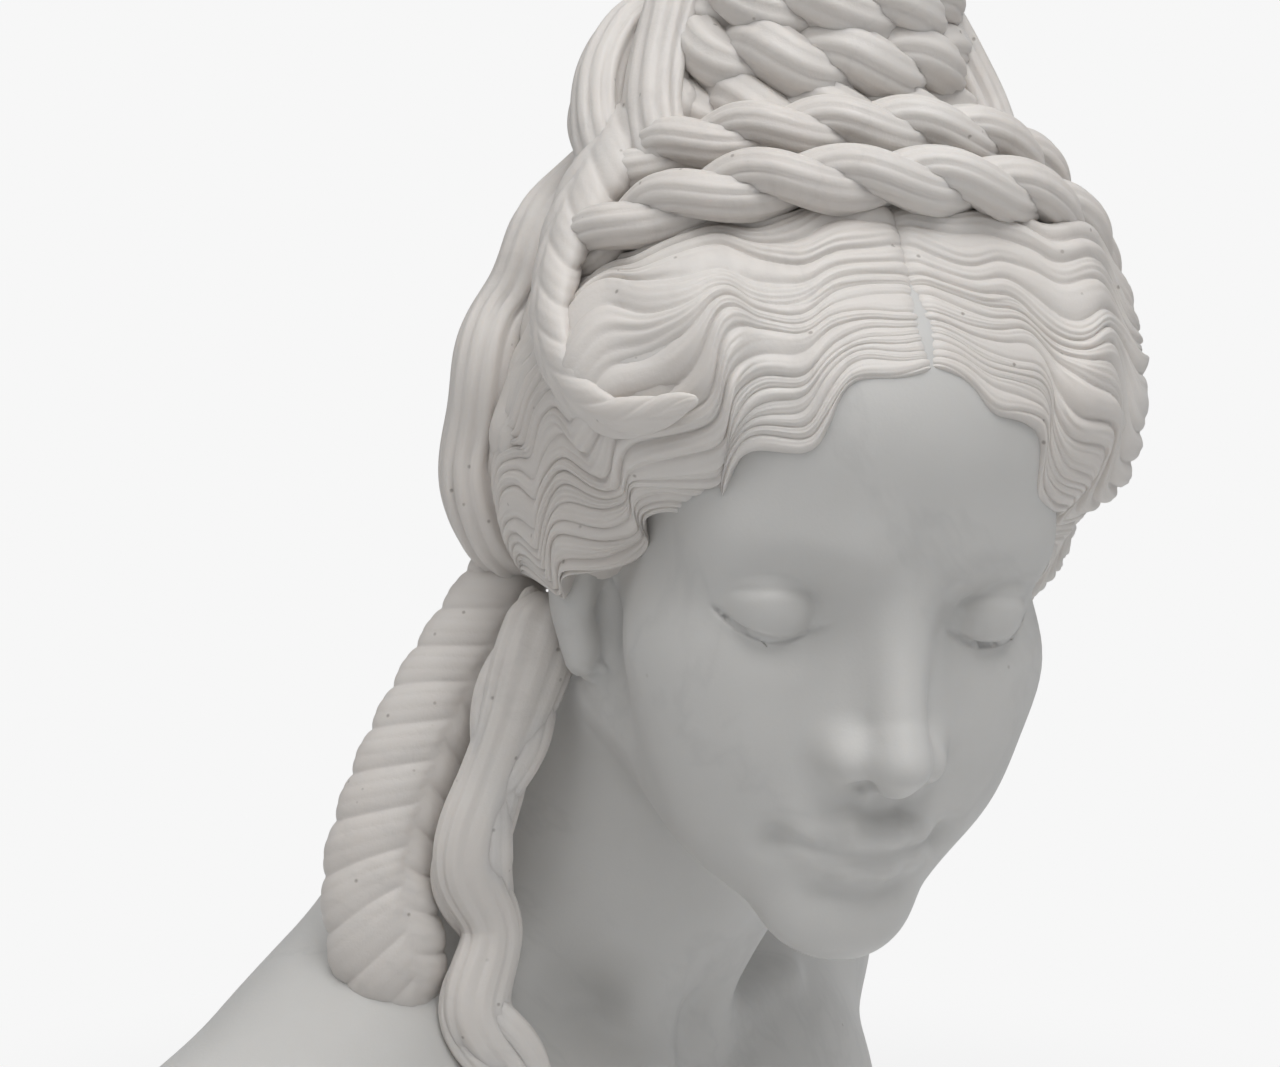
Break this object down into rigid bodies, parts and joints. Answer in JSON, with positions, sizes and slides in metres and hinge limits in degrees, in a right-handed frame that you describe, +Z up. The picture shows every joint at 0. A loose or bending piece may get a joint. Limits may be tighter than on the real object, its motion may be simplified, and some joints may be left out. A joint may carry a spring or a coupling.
{
  "type": "marble bust on socle",
  "caption": "Marble bust of a young woman with bowed, turned head and plaited topknot, pinned on a turned socle and square plinth.",
  "frame": {"origin": "middle of the felt's resting face, on the axis of the dowel", "axes": "+Z up along the dowel, -Y the way the bust's chest faces, +X to the bust's own left"},
  "size_m": [0.3672, 0.2495, 0.6893],
  "materials": {
    "figure_marble": "white statuary marble, soft polish on the skin, carved hair",
    "stand_marble": "white marble, honed and lightly polished",
    "baize": "dark green baize",
    "steel": "plain turned steel",
    "lead": "dull grey lead"
  },
  "bodies": {
    "stand": {"felt_pad": "baize", "plinth": "stand_marble", "socle": "stand_marble", "dowel": "steel", "clamp_washer": "steel", "clamp_nut": "steel", "lock_nut": "steel", "top_washer": "steel", "top_nut": "steel", "slip_washer": "lead"},
    "figure": {"sleeve": "steel", "sleeve_setting": "lead", "bust": "figure_marble"}
  },
  "joints": [
    {"name": "bust_turn", "type": "hinge", "parent": "stand", "child": "figure", "pos_m": [0, 0, 0.144], "axis": [0, 0, 1], "continuous": true}
  ]
}
